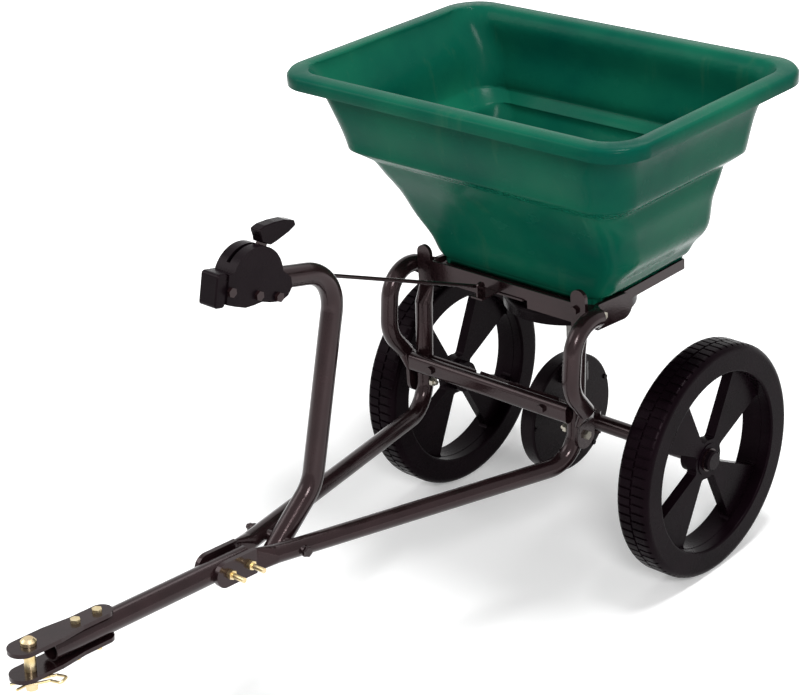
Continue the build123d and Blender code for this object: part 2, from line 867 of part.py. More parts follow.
for side in ("left", "right"):
    sign = side_sign(side)
    with BuildPart() as wheel_bush:
        with BuildSketch(wheel_plane(sign, hub_start)):
            Circle(hub_bore - running_clearance)
            Circle(axle_radius + running_clearance, mode=Mode.SUBTRACT)
        extrude(amount=hub_length)
        if side == "right":
            drill(
                at(sign * (drive_pin_x), 0, axle_z - 40),
                at(sign * (drive_pin_x), 0, axle_z + 40),
                bolt_radius + running_clearance,
            )
    save(wheel_bush, "wheel_bush_" + side)

# ---------------------------------------------------------------- gear drive and impeller

gear_bore = axle_radius + running_clearance
gear_back = gear_face_x - tooth_depth - web_thickness
tooth_width = pi * gear_module / 3
face_width = 12.0


def across_axle(x):
    """A plane across the axle at x, facing +X, with its Y axis upward."""
    return Plane(origin=at(x, 0, axle_z), x_dir=(0, 1, 0), z_dir=(1, 0, 0))


with BuildPart() as ring_gear:
    with BuildSketch(across_axle(gear_back)):
        Circle(pitch_radius + face_width / 2)
    extrude(amount=web_thickness)
    with BuildSketch(across_axle(gear_back)):
        Circle(axle_radius + 5.0)
    extrude(amount=gear_hub_end - gear_back)
    with BuildSketch(across_axle(gear_back + web_thickness - 0.5)):
        with PolarLocations(pitch_radius, gear_teeth, start_angle=90):
            Rectangle(face_width, tooth_width)
    extrude(amount=tooth_depth + 0.5)
    with BuildSketch(across_axle(gear_back - 1)):
        Circle(gear_bore)
        with PolarLocations((axle_radius + 5.0 + pitch_radius - face_width / 2) / 2, 6):
            Circle(9.0)
    extrude(amount=30, mode=Mode.SUBTRACT)
    drill(at(gear_pin_x, 0, axle_z - 20), at(gear_pin_x, 0, axle_z + 20), 2.0 + running_clearance)
save(ring_gear, "ring_gear")

with BuildPart() as gear_pin:
    pin_half = axle_radius + 5.0
    round_bar(at(gear_pin_x, 0, axle_z - pin_half), at(gear_pin_x, 0, axle_z + pin_half), 2.0)
save(gear_pin, "gear_pin")

with BuildPart() as wheel_drive_pin:
    round_bar(at(drive_pin_x, 0, axle_z - hub_radius), at(drive_pin_x, 0, axle_z + hub_radius), bolt_radius)
save(wheel_drive_pin, "wheel_drive_pin")

shaft_bottom = pinion_z - pinion_height / 2 - 8.0
shaft_top = agitator_z + 12.0
pinion_root = pinion_radius - 1.2
pinion_tip = pinion_radius + 1.8
with BuildPart() as pinion:
    with BuildSketch(Plane(origin=at(0, 0, pinion_z - pinion_height / 2))):
        Circle(pinion_root)
        tooth_middle = (pinion_root + pinion_tip) / 2 - 0.5
        with PolarLocations(tooth_middle, pinion_teeth, start_angle=180.0 / pinion_teeth):
            Rectangle(pinion_tip - pinion_root + 1.0, tooth_width)
        Circle(shaft_radius + running_clearance, mode=Mode.SUBTRACT)
    extrude(amount=pinion_height)
    with BuildSketch(Plane(origin=at(0, 0, pinion_z + pinion_height / 2))):
        Circle(shaft_radius + 4.0)
        Circle(shaft_radius + running_clearance, mode=Mode.SUBTRACT)
    extrude(amount=9.0)
    drill(
        at(-20, 0, pinion_z + pinion_height / 2 + 4.5),
        at(20, 0, pinion_z + pinion_height / 2 + 4.5),
        1.6 + running_clearance,
    )
save(pinion, "pinion")

impeller_pin_z = impeller_z + 9.0
with BuildPart() as impeller_shaft:
    round_bar(at(0, 0, shaft_bottom), at(0, 0, shaft_top), shaft_radius)
    pin_holes = ((pinion_z + pinion_height / 2 + 4.5, 1.6), (impeller_pin_z, 2.0), (agitator_z, 2.5))
    for height, radius in pin_holes:
        drill(at(-20, 0, height), at(20, 0, height), radius + running_clearance)
save(impeller_shaft, "impeller_shaft")

impeller_wall = 2.5
with BuildPart() as impeller:
    with BuildSketch(Plane(origin=at(0, 0, impeller_z - impeller_skirt))):
        Circle(impeller_radius)
    extrude(amount=impeller_skirt)
    fillet(impeller.edges().group_by(Axis.Z)[-1], radius=7.0)
    with BuildSketch(Plane(origin=at(0, 0, impeller_z - impeller_skirt))):
        Circle(impeller_radius - impeller_wall)
    extrude(amount=impeller_skirt - impeller_wall, mode=Mode.SUBTRACT, taper=8)
    with BuildSketch(Plane(origin=at(0, 0, impeller_z - 14.0))):
        Circle(shaft_radius + 6.0)
    extrude(amount=14.0 + vane_height)
    with BuildSketch(Plane(origin=at(0, 0, impeller_z - 0.5))):
        with PolarLocations(0, vane_count):
            with Locations(((impeller_radius + shaft_radius) / 2 - 2.0, 0)):
                Rectangle(impeller_radius - shaft_radius - 8.0, 2.4)
    extrude(amount=vane_height - 4.0)
    drill(at(0, 0, impeller_z - 30), at(0, 0, impeller_z + 60), shaft_radius + running_clearance)
    drill(at(0, -20, impeller_pin_z), at(0, 20, impeller_pin_z), 2.0 + running_clearance)
    drill(at(-20, 0, impeller_pin_z), at(20, 0, impeller_pin_z), 2.0 + running_clearance)
save(impeller, "impeller")

pinion_pin_z = pinion_z + pinion_height / 2 + 4.5
with BuildPart() as shaft_pins:
    round_bar(at(-shaft_radius - 6.0, 0, impeller_pin_z), at(shaft_radius + 6.0, 0, impeller_pin_z), 2.0)
    round_bar(at(-shaft_radius - 4.0, 0, pinion_pin_z), at(shaft_radius + 4.0, 0, pinion_pin_z), 1.6)
save(shaft_pins, "shaft_pins")

with BuildPart() as agitator:
    round_bar(at(-agitator_span / 2, 0, agitator_z), at(agitator_span / 2, 0, agitator_z), 2.5)
save(agitator, "agitator")

with BuildPart() as hopper_bush:
    with BuildSketch(Plane(origin=at(0, 0, floor_z - tray_thickness))):
        Circle(shaft_radius + 5.0 - running_clearance)
    extrude(amount=tray_thickness + hopper_wall)
    with BuildSketch(Plane(origin=at(0, 0, floor_z + hopper_wall))):
        Circle(shaft_radius + 8.0)
    extrude(amount=2.0)
    drill(at(0, 0, floor_z - 20), at(0, 0, floor_z + 20), shaft_radius + running_clearance)
save(hopper_bush, "hopper_bush")

# gear case: a flat left half, and a right half with a boss round the pinion
boss_inner = pinion_tip + 1.6
boss_outer = boss_inner + case_wall
boss_top = pinion_z + pinion_height / 2 + 9.0 + 1.0
boss_bottom = pinion_z - pinion_height / 2 - 1.0
bush_outer = shaft_radius + 2.5
seam_x = (case_left + case_right) / 2 - 1.0
screw_angles = (20.0, 175.0, 235.0, 305.0)
screw_circle = case_radius - case_wall - 3.0
tie_offset = bracket_drop * (case_radius - case_wall - 6.0)


def on_rim(angle, x):
    """The point of the case's screw circle at an angle from the rear, at x."""
    return at(x, screw_circle * cos(radians(angle)), axle_z + screw_circle * sin(radians(angle)))


def tie_hole(radius, start, end, mode):
    """A cylinder along X through the case's tie point."""
    place = tie_offset + Vector(0, 0, axle_z)
    round_bar(at(start, place.Y, place.Z), at(end, place.Y, place.Z), radius, mode=mode)


with BuildPart() as gear_case_left:
    with BuildSketch(across_axle(case_left)):
        Circle(case_radius)
    extrude(amount=seam_x - case_left)
    fillet(gear_case_left.edges().group_by(Axis.X)[0], radius=3.0)
    with BuildSketch(across_axle(case_left + case_wall)):
        Circle(case_radius - case_wall)
    extrude(amount=seam_x - case_left, mode=Mode.SUBTRACT)
    with BuildSketch(across_axle(case_left + case_wall - 0.5)):
        for angle in screw_angles:
            with PolarLocations(screw_circle, 1, start_angle=angle):
                Circle(4.0)
    extrude(amount=seam_x - case_left - case_wall + 0.5)
    for angle in screw_angles:
        drill(on_rim(angle, seam_x - 7.0), on_rim(angle, seam_x + 1.0), 1.6)
    drill(at(case_left - 1, 0, axle_z), at(seam_x, 0, axle_z), axle_radius + 1.5)
    tie_hole(bolt_radius + hole_clearance, case_left - 1, seam_x + 1, Mode.SUBTRACT)
save(gear_case_left, "gear_case_left")

with BuildPart() as gear_case_right:
    with BuildSketch(across_axle(seam_x)):
        Circle(case_radius)
    extrude(amount=case_right - seam_x)
    fillet(gear_case_right.edges().group_by(Axis.X)[-1], radius=3.0)
    with BuildSketch(Plane(origin=at(0, 0, boss_bottom - case_wall))):
        Circle(boss_outer)
        Rectangle(2 * boss_outer, 4 * boss_outer, align=(Align.MAX, Align.CENTER), mode=Mode.SUBTRACT)
        Rectangle(-case_right, 2 * boss_outer, align=(Align.MAX, Align.CENTER))
    extrude(amount=boss_top - boss_bottom + 2 * case_wall)
    with BuildSketch(across_axle(seam_x)):
        Circle(case_radius - case_wall)
    extrude(amount=case_right - seam_x - case_wall, mode=Mode.SUBTRACT)
    with BuildSketch(Plane(origin=at(0, 0, boss_bottom))):
        Circle(boss_inner)
    extrude(amount=boss_top - boss_bottom, mode=Mode.SUBTRACT)
    with BuildSketch(Plane(origin=at(0, 0, boss_bottom - case_wall))):
        Circle(bush_outer + 2.0)
    extrude(amount=case_wall)
    with BuildSketch(Plane(origin=at(0, 0, boss_top))):
        Circle(bush_outer + 2.0)
    extrude(amount=case_wall)
    with BuildSketch(across_axle(seam_x)):
        for angle in screw_angles:
            with PolarLocations(screw_circle, 1, start_angle=angle):
                Circle(4.0)
    extrude(amount=case_right - seam_x)
    for angle in screw_angles:
        drill(on_rim(angle, seam_x - 1.0), on_rim(angle, case_right + 1.0), 2.0)
    drill(at(seam_x, 0, axle_z), at(case_right + 1, 0, axle_z), axle_radius + 6.0)
    drill(at(0, 0, boss_bottom - 10), at(0, 0, boss_top + 10), bush_outer)
    tie_hole(bolt_radius + hole_clearance, seam_x - 1, case_right + 1, Mode.SUBTRACT)
save(gear_case_right, "gear_case_right")

with BuildPart() as shaft_bushes:
    for level in (boss_bottom - case_wall, boss_top):
        with BuildSketch(Plane(origin=at(0, 0, level))):
            Circle(bush_outer - running_clearance)
            Circle(shaft_radius + running_clearance, mode=Mode.SUBTRACT)
        extrude(amount=case_wall)
save(shaft_bushes, "shaft_bushes")

with BuildPart() as case_screws:
    for angle in screw_angles:
        round_bar(on_rim(angle, seam_x - 6.5), on_rim(angle, case_right), 1.5)
        round_bar(on_rim(angle, case_right), on_rim(angle, case_right + 2.2), 3.2)
save(case_screws, "case_screws")

tie_length = bracket_spacing + 2 * bracket_thickness
tie_place = tie_offset + Vector(0, 0, axle_z)
with BuildPart() as case_tie_bolt:
    bolt(at(tie_length / 2, tie_place.Y, tie_place.Z), (-1, 0, 0), tie_length, bolt_radius)
save(case_tie_bolt, "case_tie_bolt")

with BuildPart() as case_spacers:
    tie_hole(bolt_radius + 2.5, -cheek_x, case_left, Mode.ADD)
    tie_hole(bolt_radius + 2.5, case_right, cheek_x, Mode.ADD)
    tie_hole(bolt_radius + running_clearance, -cheek_x - 1, cheek_x + 1, Mode.SUBTRACT)
save(case_spacers, "case_spacers")

# ---------------------------------------------------------------- control post and head

head = Plane(
    origin=at(0, pivot_y, pivot_z),
    x_dir=(0, cos(radians(head_tilt)), -sin(radians(head_tilt))),
    z_dir=(1, 0, 0),
)
lever_plane = Plane(
    origin=at(0, pivot_y, pivot_z),
    x_dir=(0, cos(radians(lever_rest)), -sin(radians(lever_rest))),
    z_dir=(1, 0, 0),
)


def head_point(run, height, x):
    """A point run rearward and height above the pivot, in the head's tilted frame."""
    return head.from_local_coords(Vector(run, height, x))


corner_back = post_corner_y - pivot_y - post_above_pivot * sin(radians(head_tilt))
post_corner_run = corner_back / cos(radians(head_tilt))
post_corner = head_point(post_corner_run, post_above_pivot, 0)
knee_y = post_corner_y - (post_corner.Z - post_knee_z) * tan(radians(post_lean))
post_foot = Vector(at(0, post_foot_y, post_foot_z))
post_knee = Vector(at(0, knee_y, post_knee_z))
post_end = head_point(post_front, post_above_pivot, 0)
with BuildPart() as control_post:
    post_route = [post_foot, post_knee, post_corner, post_end]
    bent_tube(post_route, (post_knee_bend, post_bend), post_radius, tube_wall)
    drill(
        at(-20, post_bolt_y, post_bolt_z),
        at(20, post_bolt_y, post_bolt_z),
        big_bolt_radius + hole_clearance,
    )
save(control_post, "control_post")

with BuildPart() as post_bolt:
    bolt(at(post_bolt_reach, post_bolt_y, post_bolt_z), (-1, 0, 0), 2 * post_bolt_reach, big_bolt_radius)
save(post_bolt, "post_bolt")

# saddle spacers on the post bolt: inside and outside each frame tube
with BuildPart() as post_spacers:
    for side in (-1, 1):
        start = at(side * 10.0, post_bolt_y, post_bolt_z)
        round_bar(start, at(side * post_bolt_reach, post_bolt_y, post_bolt_z), spacer_radius)
    drill(post_foot, post_knee, post_radius + running_clearance)
    for side in (-1, 1):
        kink = along_tongue(side * flat_x, flat_start, 0)
        corner = at(side * upright_x, upright_y, corner_z)
        drill(kink, corner, tube_radius + running_clearance)
    drill(
        at(-60, post_bolt_y, post_bolt_z),
        at(60, post_bolt_y, post_bolt_z),
        big_bolt_radius + running_clearance,
    )
save(post_spacers, "post_spacers")

inner_half = housing_half - housing_wall
body_outline = (
    (-nose_rear, nose_top - 1.0),
    (-nose_rear, -6.0),
    (-33.0, -9.0),
    (-17.0, -12.0),
    (-5.0, -10.5),
    (7.0, -8.0),
    (20.0, -10.0),
    (36.0, -10.5),
    (46.0, -5.0),
    (51.0, 4.0),
    (48.0, 15.0),
    (30.0, 27.0),
)


def housing_outline(inset):
    """The head's side outline, drawn inset by an amount."""
    with BuildSketch() as outline:
        Polygon(*body_outline, align=None)
        fillet(outline.vertices().filter_by(lambda corner: corner.Y < 20), radius=4.0)
        with Locations((-dome_forward, dome_centre_height)):
            Circle(dome_radius)
            with Locations((0, -dome_radius)):
                Rectangle(3 * dome_radius, 2 * dome_radius - 10.0, mode=Mode.SUBTRACT)
        Polygon(*body_outline, align=None)
        if inset:
            offset(amount=-inset, kind=Kind.INTERSECTION)
    return outline.sketch


for side in ("left", "right"):
    sign = side_sign(side)
    with BuildPart() as control_housing:
        extrude(head.location * housing_outline(0), amount=sign * housing_half)
        extrude(head.location * housing_outline(housing_wall), amount=sign * inner_half, mode=Mode.SUBTRACT)
        # lever slot along the top, and the openings for the post and the nose
        with BuildSketch(head):
            with Locations((-7.0, 48.0)):
                Rectangle(55.0, 24.0)
        extrude(amount=sign * (lever_thickness / 2 + 0.6), mode=Mode.SUBTRACT)
        drill(
            head_point(post_front - 2.0, post_above_pivot, 0),
            head_point(100.0, post_above_pivot, 0),
            post_radius + running_clearance,
        )
        with BuildSketch(head):
            with Locations((-nose_rear, nose_bolt_height)):
                Rectangle(8.0, 24.0)
        extrude(amount=sign * inner_half, mode=Mode.SUBTRACT)
        for run, height in ((0, 0), (clamp_run, -clamp_drop), (4.0 - nose_rear, nose_bolt_height)):
            drill(
                head_point(run, height, -20.0),
                head_point(run, height, 20.0),
                bolt_radius + running_clearance,
            )
        if side == "left":
            pin_rest = rod_pin_height * tan(radians(lever_rest))
            middle = pin_rest - gate_travel / 2
            with BuildSketch(head):
                with Locations(
                    Location(
                        (
                            middle * cos(radians(head_tilt)) - rod_pin_height * sin(radians(head_tilt)),
                            middle * sin(radians(head_tilt)) + rod_pin_height * cos(radians(head_tilt)),
                        ),
                        head_tilt,
                    )
                ):
                    SlotCenterToCenter(gate_travel, 2 * (rod_radius + 0.8))
            extrude(amount=-20.0, mode=Mode.SUBTRACT)
    save(control_housing, "control_housing_" + side)

with BuildPart() as control_nose:
    with BuildSketch(head.offset(-nose_half)):
        with Locations((-(nose_front + nose_rear) / 2, (nose_top - nose_bottom) / 2)):
            RectangleRounded(nose_front - nose_rear, nose_top + nose_bottom, 4.0)
    extrude(amount=2 * nose_half)
    nose_sides = control_nose.faces().sort_by(Axis.X)
    chamfer(nose_sides[0].edges() + nose_sides[-1].edges(), 1.5)
    with BuildSketch(head.offset(-inner_half + body_gap)):
        with Locations((-nose_rear, nose_bolt_height)):
            Rectangle(16.0, 22.0)
    extrude(amount=2 * (inner_half - body_gap))
    drill(
        head_point(4.0 - nose_rear, nose_bolt_height, -20.0),
        head_point(4.0 - nose_rear, nose_bolt_height, 20.0),
        bolt_radius + running_clearance,
    )
save(control_nose, "control_nose")

with BuildPart() as head_bolts:
    for run, height in ((clamp_run, -clamp_drop), (4.0 - nose_rear, nose_bolt_height)):
        bolt(head_point(run, height, housing_half), (-1, 0, 0), 2 * housing_half, bolt_radius, tail=1.0)
save(head_bolts, "head_bolts")

with BuildPart() as lever_pivot_bolt:
    bolt(head_point(0, 0, housing_half), (-1, 0, 0), 2 * housing_half, bolt_radius, tail=1.0)
save(lever_pivot_bolt, "lever_pivot_bolt")

pin_reach = rod_pin_height / cos(radians(lever_rest))
lever_top = 70.0
grip_bottom = 55.0
with BuildPart() as lever:
    with BuildSketch(lever_plane.offset(-lever_thickness / 2)):
        with Locations((0, lever_top / 2)):
            Rectangle(lever_width, lever_top)
        Circle(lever_boss)
        with Locations(Location((0, (rod_pin_height + pin_reach) / 2), 90)):
            SlotCenterToCenter(pin_reach - rod_pin_height + 1.0, 2 * (rod_radius + 1.0), mode=Mode.SUBTRACT)
    extrude(amount=lever_thickness)
    round_bar(head_point(0, 0, -inner_half + body_gap), head_point(0, 0, inner_half - body_gap), lever_boss)
    drill(head_point(0, 0, -20), head_point(0, 0, 20), bolt_radius + running_clearance)
save(lever, "lever")

grip_outline = (
    (-7.0, grip_bottom),
    (-10.0, 60.0),
    (-16.5, 67.0),
    (-9.0, 73.5),
    (5.0, 80.0),
    (20.0, 85.0),
    (33.0, 86.5),
    (37.5, 82.0),
    (30.0, 73.0),
    (15.0, 60.0),
    (8.0, grip_bottom),
)
with BuildPart() as lever_grip:
    with BuildSketch(lever_plane.offset(-grip_half)) as outline:
        Polygon(*grip_outline, align=None)
        fillet(outline.vertices(), radius=2.6)
    extrude(amount=2 * grip_half)
    sides = lever_grip.faces().sort_by(Axis.X)
    chamfer(sides[0].edges() + sides[-1].edges(), 1.2)
    with BuildSketch(lever_plane.offset(-lever_thickness / 2)):
        with Locations((0, lever_top / 2)):
            Rectangle(lever_width, lever_top)
    extrude(amount=lever_thickness, mode=Mode.SUBTRACT)
save(lever_grip, "lever_grip")

# ---------------------------------------------------------------- control rod and shutter

rod_pin_y = pivot_y + rod_pin_height * tan(radians(lever_rest))
rod_pin_z = pivot_z + rod_pin_height
with BuildPart() as control_rod:
    bent_tube(
        [
            Vector(at(6.0, rod_pin_y, rod_pin_z)),
            Vector(at(rod_x, rod_pin_y, rod_pin_z)),
            Vector(at(rod_x, rod_pin_y + 32.0, rod_pin_z - 27.5)),
            Vector(at(rod_x, gate_ear_y, gate_ear_z)),
            Vector(at(-11.0, gate_ear_y, gate_ear_z)),
        ],
        (3.5, 12.0, 3.5),
        rod_radius,
        0,
    )
save(control_rod, "control_rod")

window_y = outlet_y + gate_travel
with BuildPart() as gate:
    with BuildSketch(Plane(origin=at(0, 0, gate_top - gate_thickness))):
        with Locations((0, -(gate_neck + gate_rear) / 2)):
            Rectangle(2 * gate_half_width, gate_neck - gate_rear)
        with Locations((-16.0, -(gate_front + gate_neck) / 2)):
            Rectangle(gate_tongue, gate_front - gate_neck + 2.0)
        with Locations((0, window_y)):
            RectangleRounded(outlet_length, outlet_width, 4.0, mode=Mode.SUBTRACT)
    extrude(amount=gate_thickness)
    ear = Plane(origin=at(-17.0, gate_ear_y, gate_top - gate_thickness), x_dir=(0, 1, 0), z_dir=(1, 0, 0))
    with BuildSketch(ear):
        with Locations((0, (gate_ear_z - gate_top + gate_thickness) / 2)):
            Rectangle(14.0, gate_ear_z - gate_top + gate_thickness)
        with Locations((0, gate_ear_z - gate_top + gate_thickness)):
            Circle(7.0)
    extrude(amount=2.5)
    drill(at(-25, gate_ear_y, gate_ear_z), at(-5, gate_ear_y, gate_ear_z), rod_radius + running_clearance)
save(gate, "gate")

guide_bottom = gate_top - gate_thickness - gate_gap - guide_wall
guide_y = axle_y - 80.0
with BuildPart() as gate_guides:
    for side in (-1, 1):
        wall_x = side * (gate_half_width + gate_gap + guide_wall / 2)
        with Locations(Pos(wall_x, guide_y, (floor_z - tray_thickness + guide_bottom) / 2)):
            Box(guide_wall, guide_length, floor_z - tray_thickness - guide_bottom)
        shelf_x = side * (gate_half_width + gate_gap + guide_wall - guide_shelf / 2)
        with Locations(Pos(shelf_x, guide_y, guide_bottom + guide_wall / 2)):
            Box(guide_shelf, guide_length, guide_wall)
save(gate_guides, "gate_guides")
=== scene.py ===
import bpy
import bmesh
import json
import math
from mathutils import Matrix, Vector


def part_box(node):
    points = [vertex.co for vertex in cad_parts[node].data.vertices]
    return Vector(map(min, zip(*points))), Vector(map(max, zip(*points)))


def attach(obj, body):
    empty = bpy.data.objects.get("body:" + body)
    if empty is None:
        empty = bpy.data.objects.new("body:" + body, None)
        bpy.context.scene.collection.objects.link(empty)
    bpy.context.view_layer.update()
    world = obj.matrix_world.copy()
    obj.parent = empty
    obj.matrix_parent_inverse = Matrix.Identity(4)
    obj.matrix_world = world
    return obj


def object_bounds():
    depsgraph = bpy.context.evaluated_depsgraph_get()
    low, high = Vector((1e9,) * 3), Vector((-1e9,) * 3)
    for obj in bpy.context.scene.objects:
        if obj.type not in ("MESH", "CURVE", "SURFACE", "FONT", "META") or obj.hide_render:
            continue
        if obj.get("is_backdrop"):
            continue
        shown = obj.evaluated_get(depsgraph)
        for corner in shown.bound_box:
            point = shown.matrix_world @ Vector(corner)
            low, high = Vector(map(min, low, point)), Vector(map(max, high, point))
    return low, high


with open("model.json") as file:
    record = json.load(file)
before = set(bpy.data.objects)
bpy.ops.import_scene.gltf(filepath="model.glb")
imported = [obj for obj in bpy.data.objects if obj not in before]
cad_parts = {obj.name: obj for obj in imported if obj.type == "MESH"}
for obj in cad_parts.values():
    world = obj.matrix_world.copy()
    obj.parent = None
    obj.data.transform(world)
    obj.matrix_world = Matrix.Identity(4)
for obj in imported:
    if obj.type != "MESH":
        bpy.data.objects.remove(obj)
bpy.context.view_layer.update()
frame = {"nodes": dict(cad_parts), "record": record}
nodes = frame["nodes"]
print("frame loaded,", len(nodes), "nodes")

# every finish is worked out from Object coordinates, in metres
def newMaterial(name):
    material = bpy.data.materials.new(name)
    material.use_nodes = True
    tree = material.node_tree
    shader = tree.nodes["Principled BSDF"]
    place = tree.nodes.new("ShaderNodeTexCoord")
    return material, tree, shader, place.outputs["Object"]


def noise(tree, place, scale, detail=3.0, rough=0.5, stretch=None):
    texture = tree.nodes.new("ShaderNodeTexNoise")
    texture.inputs["Scale"].default_value = scale
    texture.inputs["Detail"].default_value = detail
    texture.inputs["Roughness"].default_value = rough
    if stretch:
        mapping = tree.nodes.new("ShaderNodeMapping")
        mapping.inputs["Scale"].default_value = stretch
        tree.links.new(place, mapping.inputs["Vector"])
        place = mapping.outputs["Vector"]
    tree.links.new(place, texture.inputs["Vector"])
    return texture.outputs["Fac"]


def spread(tree, value, low, high, fromLow=0.3, fromHigh=0.7):
    ramp = tree.nodes.new("ShaderNodeMapRange")
    ramp.inputs["From Min"].default_value = fromLow
    ramp.inputs["From Max"].default_value = fromHigh
    ramp.inputs["To Min"].default_value = low
    ramp.inputs["To Max"].default_value = high
    tree.links.new(value, ramp.inputs["Value"])
    return ramp.outputs["Result"]


def blendColour(tree, value, first, second):
    mix = tree.nodes.new("ShaderNodeMix")
    mix.data_type = "RGBA"
    tree.links.new(value, mix.inputs["Factor"])
    for socket, colour in ((6, first), (7, second)):
        if isinstance(colour, tuple):
            mix.inputs[socket].default_value = colour + (1.0,)
        else:
            tree.links.new(colour, mix.inputs[socket])
    return mix.outputs[2]


def bump(tree, shader, height, distance, strength, under=None):
    node = tree.nodes.new("ShaderNodeBump")
    node.inputs["Distance"].default_value = distance
    node.inputs["Strength"].default_value = strength
    tree.links.new(height, node.inputs["Height"])
    if under:
        tree.links.new(under, node.inputs["Normal"])
    tree.links.new(node.outputs["Normal"], shader.inputs["Normal"])
    return node.outputs["Normal"]


def roughen(tree, shader, place, look, detail):
    wear = noise(tree, place, look["wear"], detail)
    tree.links.new(spread(tree, wear, *look["rough"]), shader.inputs["Roughness"])


def maths(tree, operation, first, second):
    node = tree.nodes.new("ShaderNodeMath")
    node.operation = operation
    for socket, value in zip(node.inputs, (first, second)):
        if isinstance(value, (int, float)):
            socket.default_value = value
        else:
            tree.links.new(value, socket)
    return node.outputs["Value"]


hopperLook = {
    "deep": (0.0006, 0.053, 0.036),
    "light": (0.0045, 0.092, 0.052),
    "scuff": (0.040, 0.110, 0.062),
    "clouds": 7.0,
    "streaks": 30.0,
    "streakShape": (1.0, 1.0, 0.12),
    "wear": 22.0,
    "rough": (0.15, 0.30),
    "specular": 0.035,
    "waves": 14.0,
    "waveDepth": 0.003,
    "grain": 900.0,
    "grainDepth": 0.0002,
    "weld": 0.000002,
    "evenness": 90,
}


def mouldedGreen():
    material, tree, shader, place = newMaterial("mouldedGreen")
    cloud = spread(tree, noise(tree, place, hopperLook["clouds"], 4.0), 0.0, 1.0)
    colour = blendColour(tree, cloud, hopperLook["deep"], hopperLook["light"])
    streak = noise(tree, place, hopperLook["streaks"], 6.0, 0.65, stretch=hopperLook["streakShape"])
    scuffs = spread(tree, streak, 0.0, 0.35, 0.58, 0.78)
    tree.links.new(blendColour(tree, scuffs, colour, hopperLook["scuff"]), shader.inputs["Base Color"])
    roughen(tree, shader, place, hopperLook, 5.0)
    flow = bump(tree, shader, noise(tree, place, hopperLook["waves"], 2.0), hopperLook["waveDepth"], 0.25)
    bump(tree, shader, noise(tree, place, hopperLook["grain"], 2.0), hopperLook["grainDepth"], 0.2, flow)
    shader.inputs["Specular IOR Level"].default_value = hopperLook["specular"]
    return material


frameLook = {
    "paint": (0.0058, 0.0026, 0.0031),
    "thin": (0.0130, 0.0060, 0.0068),
    "dust": (0.046, 0.027, 0.027),
    "clouds": 25.0,
    "specks": 160.0,
    "wear": 40.0,
    "rough": (0.13, 0.26),
    "specular": 0.26,
    "grain": 420.0,
    "grainDepth": 0.0004,
    "coat": 0.12,
    "coatRough": 0.10,
    "tint": (1.0, 0.74, 0.76, 1.0),
}


def paintedSteel():
    material, tree, shader, place = newMaterial("paintedSteel")
    cloud = spread(tree, noise(tree, place, frameLook["clouds"], 4.0), 0.0, 1.0)
    colour = blendColour(tree, cloud, frameLook["paint"], frameLook["thin"])
    specks = spread(tree, noise(tree, place, frameLook["specks"], 6.0, 0.7), 0.0, 0.6, 0.68, 0.80)
    tree.links.new(blendColour(tree, specks, colour, frameLook["dust"]), shader.inputs["Base Color"])
    roughen(tree, shader, place, frameLook, 5.0)
    bump(tree, shader, noise(tree, place, frameLook["grain"], 3.0), frameLook["grainDepth"], 0.30)
    shader.inputs["Specular IOR Level"].default_value = frameLook["specular"]
    shader.inputs["Specular Tint"].default_value = frameLook["tint"]
    shader.inputs["Coat Weight"].default_value = frameLook["coat"]
    shader.inputs["Coat Roughness"].default_value = frameLook["coatRough"]
    return material


wheelLook = {
    "black": (0.0020, 0.0008, 0.0015),
    "worn": (0.0048, 0.0021, 0.0036),
    "clouds": 18.0,
    "wear": 35.0,
    "rough": (0.22, 0.34),
    "specular": 0.030,
    "tint": (1.0, 0.78, 0.88, 1.0),
    "grain": 700.0,
    "grainDepth": 0.0004,
}
caseLook = {
    "black": (0.0026, 0.0014, 0.0022),
    "worn": (0.0058, 0.0034, 0.0046),
    "clouds": 18.0,
    "wear": 35.0,
    "rough": (0.20, 0.34),
    "specular": 0.060,
    "tint": (1.0, 0.80, 0.86, 1.0),
    "grain": 900.0,
    "grainDepth": 0.0004,
}


def mouldedBlack(name, look):
    material, tree, shader, place = newMaterial(name)
    cloud = spread(tree, noise(tree, place, look["clouds"], 5.0), 0.0, 1.0)
    tree.links.new(blendColour(tree, cloud, look["black"], look["worn"]), shader.inputs["Base Color"])
    roughen(tree, shader, place, look, 5.0)
    bump(tree, shader, noise(tree, place, look["grain"], 3.0), look["grainDepth"], 0.35)
    shader.inputs["Specular IOR Level"].default_value = look["specular"]
    shader.inputs["Specular Tint"].default_value = look["tint"]
    return material


zincLook = {
    "gold": (0.62, 0.47, 0.22),
    "pale": (0.72, 0.62, 0.40),
    "rose": (0.55, 0.36, 0.24),
    "clouds": 90.0,
    "tarnish": 45.0,
    "wear": 240.0,
    "rough": (0.24, 0.42),
    "grain": 900.0,
    "grainDepth": 0.0002,
}


def goldZinc():
    material, tree, shader, place = newMaterial("goldZinc")
    cloud = spread(tree, noise(tree, place, zincLook["clouds"], 3.0), 0.0, 1.0)
    colour = blendColour(tree, cloud, zincLook["gold"], zincLook["pale"])
    tint = spread(tree, noise(tree, place, zincLook["tarnish"], 4.0), 0.0, 0.6, 0.5, 0.75)
    tree.links.new(blendColour(tree, tint, colour, zincLook["rose"]), shader.inputs["Base Color"])
    shader.inputs["Metallic"].default_value = 1.0
    roughen(tree, shader, place, zincLook, 4.0)
    bump(tree, shader, noise(tree, place, zincLook["grain"], 2.0), zincLook["grainDepth"], 0.25)
    return material


steelLook = {
    "bare": ((0.34, 0.33, 0.32), (0.17, 0.16, 0.155)),
    "zinc": ((0.50, 0.47, 0.40), (0.30, 0.28, 0.24)),
    "clouds": 60.0,
    "wear": 130.0,
    "rough": (0.28, 0.50),
    "grain": 700.0,
    "grainDepth": 0.0002,
}


